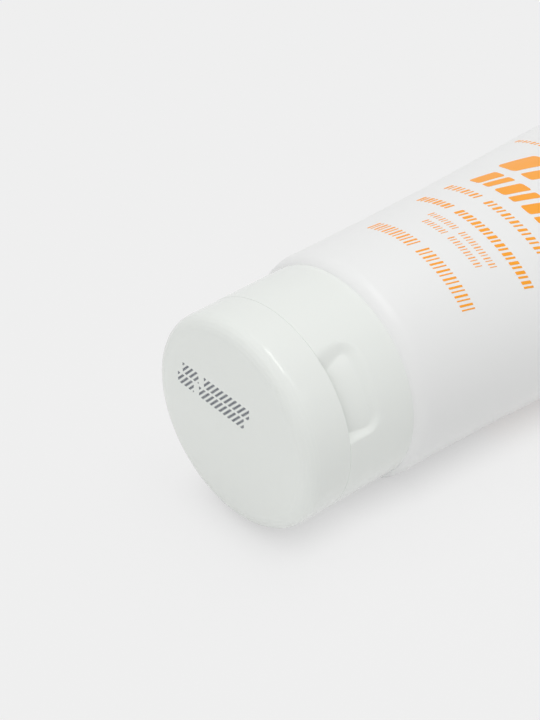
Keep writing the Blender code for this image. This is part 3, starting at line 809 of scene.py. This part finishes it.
def plastic(name, colour, roughness, grain, depth, shine):
    """A moulded plastic: slow colour drift, uneven gloss and a fine grain."""
    made = bpy.data.materials.new(name)
    made.use_nodes = True
    nodes, links = made.node_tree.nodes, made.node_tree.links
    shader = nodes["Principled BSDF"]
    shader.inputs["Specular IOR Level"].default_value = shine
    place = nodes.new("ShaderNodeTexCoord")
    drift = nodes.new("ShaderNodeTexNoise")
    drift.inputs["Scale"].default_value = DRIFT_SCALE
    drift.inputs["Detail"].default_value = 3
    links.new(place.outputs["Object"], drift.inputs["Vector"])
    tint = nodes.new("ShaderNodeMix")
    tint.data_type = "RGBA"
    for socket, share in zip("AB", COLOUR_DRIFT):
        tint.inputs[socket].default_value = (*(channel * share for channel in colour), 1)
    links.new(drift.outputs["Fac"], tint.inputs["Factor"])
    links.new(tint.outputs["Result"], shader.inputs["Base Color"])
    gloss = nodes.new("ShaderNodeMapRange")
    for socket, share in zip(("To Min", "To Max"), GLOSS_DRIFT):
        gloss.inputs[socket].default_value = roughness * share
    links.new(drift.outputs["Fac"], gloss.inputs["Value"])
    links.new(gloss.outputs["Result"], shader.inputs["Roughness"])
    fine = nodes.new("ShaderNodeTexNoise")
    fine.inputs["Scale"].default_value = grain
    fine.inputs["Detail"].default_value = 2
    links.new(place.outputs["Object"], fine.inputs["Vector"])
    bump = nodes.new("ShaderNodeBump")
    bump.inputs["Strength"].default_value = 1
    bump.inputs["Distance"].default_value = depth
    links.new(fine.outputs["Fac"], bump.inputs["Height"])
    links.new(bump.outputs["Normal"], shader.inputs["Normal"])
    return made


def dress(piece, material):
    """Give a piece one material."""
    piece.data.materials.clear()
    piece.data.materials.append(material)


def math_node(tree, operation, first, second):
    """Output of a math node; each operand is a number or another node's output."""
    made = tree.nodes.new("ShaderNodeMath")
    made.operation = operation
    for socket, operand in zip(made.inputs, (first, second)):
        if isinstance(operand, bpy.types.NodeSocket):
            tree.links.new(operand, socket)
        else:
            socket.default_value = operand
    return made.outputs[0]


def seen_directly(tree):
    """1 where the camera, a mirror or clear glass looks straight at a surface."""
    path = tree.nodes.new("ShaderNodeLightPath").outputs
    either = math_node(tree, "MAXIMUM", path["Is Camera Ray"], path["Is Glossy Ray"])
    return math_node(tree, "MAXIMUM", either, path["Is Transmission Ray"])


# Stage
FLOOR_SIZE = 6.0
FLOOR_GLOW = 0.92                 # how much of the floor's look is its plain colour
PAINTED_SHADOW_REACH = 9 * MM            # how far from the object the painted shadow darkens the plain colour
PAINTED_SHADOW_LEVEL = 0.58              # the plain colour's share left under the darkest painted shadow
PAINTED_SHADOW_TILT = (-0.23, 0.61, 0.76)  # the painted shadow is of what lies this way from the floor
PAINTED_SHADOW_POWER = 2
PAINTED_SHADOW_SAMPLES = 16
WORLD_LEVEL = 0.40
# Round soft lamps that gloss doesn't show: direction to the lamp, irradiance and apparent size
SUNS = (
    ((0.4, 0.0, 0.9), 0.875, math.radians(50)),
    ((-0.5, 0.35, 0.8), 0.42, math.radians(45)),
)
# Softboxes: direction to the lamp, direction of its length, length and width in metres at
# STRIP_DISTANCE, power, and whether gloss shows it
STRIP_DISTANCE = 3.0
STRIPS = (
    ((0.15, -0.19, 0.97), (0.06, 0.43, 0.07), 1.6, 0.9, 14.9, True),
    ((-0.85, -0.33, 0.45), (-0.62, -0.4, -0.6), 3.2, 1.8, 21.6, False),
    ((0.35, -0.58, 0.73), (0.3, -0.5, -0.55), 1.9, 0.36, 2, True),
)


def make_floor():
    """A large pale table top; seen directly, its plain colour carries a painted shadow near the
    object.
    """
    half = FLOOR_SIZE / 2
    corners = np.array([(-half, -half, 0), (half, -half, 0), (half, half, 0), (-half, half, 0)])
    floor = make_object("floor", corners, [(0, 1, 2, 3)])
    made = bpy.data.materials.new("floor_paper")
    made.use_nodes = True
    tree = made.node_tree
    nodes, links = tree.nodes, tree.links
    nodes.clear()
    out = nodes.new("ShaderNodeOutputMaterial")
    paper = nodes.new("ShaderNodeBsdfDiffuse")
    paper.inputs["Color"].default_value = (BACKGROUND, BACKGROUND, BACKGROUND, 1)
    plain = nodes.new("ShaderNodeEmission")
    # Painted shadow: occlusion near the object darkens the plain colour that the camera sees
    painted_shadow_occlusion = nodes.new("ShaderNodeAmbientOcclusion")
    painted_shadow_occlusion.samples = PAINTED_SHADOW_SAMPLES
    painted_shadow_occlusion.inputs["Distance"].default_value = PAINTED_SHADOW_REACH
    painted_shadow_occlusion.inputs["Normal"].default_value = PAINTED_SHADOW_TILT
    hidden = math_node(tree, "SUBTRACT", 1, painted_shadow_occlusion.outputs["AO"])
    shade = math_node(tree, "POWER", hidden, PAINTED_SHADOW_POWER)
    shaded = nodes.new("ShaderNodeMapRange")
    shaded.inputs["To Min"].default_value = BACKGROUND
    shaded.inputs["To Max"].default_value = BACKGROUND * PAINTED_SHADOW_LEVEL
    links.new(shade, shaded.inputs["Value"])
    links.new(shaded.outputs["Result"], plain.inputs["Color"])
    mix = nodes.new("ShaderNodeMixShader")
    links.new(math_node(tree, "MULTIPLY", seen_directly(tree), FLOOR_GLOW), mix.inputs[0])
    links.new(paper.outputs[0], mix.inputs[1])
    links.new(plain.outputs[0], mix.inputs[2])
    links.new(mix.outputs[0], out.inputs["Surface"])
    dress(floor, made)


def make_world():
    """Even light from all round; seen directly it has the floor's colour."""
    world = bpy.data.worlds.new("studio")
    bpy.context.scene.world = world
    world.use_nodes = True
    nodes, links = world.node_tree.nodes, world.node_tree.links
    nodes.clear()
    out = nodes.new("ShaderNodeOutputWorld")
    light = nodes.new("ShaderNodeBackground")
    light.inputs["Color"].default_value = (1, 1, 1, 1)
    light.inputs["Strength"].default_value = WORLD_LEVEL
    seen = nodes.new("ShaderNodeBackground")
    seen.inputs["Color"].default_value = (BACKGROUND, BACKGROUND, BACKGROUND, 1)
    mix = nodes.new("ShaderNodeMixShader")
    links.new(seen_directly(world.node_tree), mix.inputs[0])
    links.new(light.outputs[0], mix.inputs[1])
    links.new(seen.outputs[0], mix.inputs[2])
    links.new(mix.outputs[0], out.inputs["Surface"])


def make_lamps():
    """Large soft lamps far away, so that the table is evenly lit."""
    for number, (direction, power, size) in enumerate(SUNS):
        data = bpy.data.lights.new(f"soft_lamp_{number}", "SUN")
        data.energy = power
        data.angle = size
        lamp = bpy.data.objects.new(data.name, data)
        lamp.rotation_euler = Vector(direction).to_track_quat("Z", "Y").to_euler()
        lamp.visible_glossy = False
        bpy.context.scene.collection.objects.link(lamp)
    for number, (direction, along, length, width, power, in_gloss) in enumerate(STRIPS):
        data = bpy.data.lights.new(f"softbox_{number}", "AREA")
        data.shape = "RECTANGLE"
        data.size = length
        data.size_y = width
        data.energy = power
        lamp = bpy.data.objects.new(data.name, data)
        lamp.visible_glossy = in_gloss
        back = Vector(direction).normalized()
        side = back.cross(Vector(along)).normalized()
        turn = Matrix((side.cross(back), side, back)).transposed()
        place = Matrix.Translation(back * STRIP_DISTANCE)
        lamp.matrix_world = place @ turn.to_4x4()
        lamp.visible_camera = False
        bpy.context.scene.collection.objects.link(lamp)


# Camera, where the photograph was taken from
CAMERA_PLACE = (-0.23694, -0.18596, 0.21671)
CAMERA_RIGHT = (0.7477, -0.6641, 0)
CAMERA_UP = (0.3902, 0.4393, 0.8091)
CAMERA_LENS = 79.03
CAMERA_SENSOR = 36
CAMERA_CLIP = (0.01, 20)


def make_camera():
    """The camera, fitted to the outlines in the photograph."""
    data = bpy.data.cameras.new("camera")
    data.sensor_fit = "AUTO"
    data.sensor_width = CAMERA_SENSOR
    data.lens = CAMERA_LENS
    data.clip_start, data.clip_end = CAMERA_CLIP
    camera = bpy.data.objects.new("camera", data)
    right = Vector(CAMERA_RIGHT).normalized()
    up = Vector(CAMERA_UP).normalized()
    turn = Matrix((right, up, right.cross(up))).transposed()
    camera.matrix_world = Matrix.Translation(CAMERA_PLACE) @ turn.to_4x4()
    bpy.context.scene.collection.objects.link(camera)
    bpy.context.scene.camera = camera


def hold(piece, material, body, nodes=()):
    """Dress a piece, let it ride on a body and stand for the CAD nodes it replaces."""
    dress(piece, material)
    if body:
        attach(piece, body)
    if nodes:
        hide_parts(*nodes)


def make_hinge(material):
    """The three straps of the hinge, laid across the parting between the base and the lid."""
    back_y = math.sin(CAP_TURN) * cap_radius(PARTING)
    back_z = -math.cos(CAP_TURN) * cap_radius(PARTING)
    start = to_world(PARTING + STRAP_BEND, back_y, back_z)
    end = to_world(PARTING - STRAP_BEND, back_y, back_z)
    for name, node, middle, width, length, bow in strap_layout():
        strap = make_strap(name, middle, width, length, bow)
        hold(strap, material, None, [node])
        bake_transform(strap)


def main():
    """The dressed tube on its table, under the lamps and before the camera."""
    make_camera()
    made = {name: plastic(name, *values) for name, values in PLASTICS.items()}
    hold(make_sleeve(), made["sleeve_film"], "tube", ["tube_sleeve"])
    hold(make_cream(), made["cream"], "tube", ["sunscreen_cream"])
    dress(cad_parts["tube_head"], made["head_plastic"])
    front = make_print("front_print", FRONT_CENTRE, FRONT_ROWS)
    back = make_print("back_print", BACK_CENTRE, BACK_ROWS, [BACK_PANEL])
    hold(front, made["orange_ink"], "tube")
    hold(back, made["orange_ink"], "tube")
    hold(make_base(), made["cap_plastic"], "cap", ["cap_base"])
    hold(make_lid(), made["cap_plastic"], "lid", ["lid"])
    hold(make_code(), made["code_ink"], "lid")
    make_hinge(made["hinge_plastic"])
    make_floor()
    make_world()
    make_lamps()
    bpy.context.scene.view_settings.view_transform = "Standard"


main()
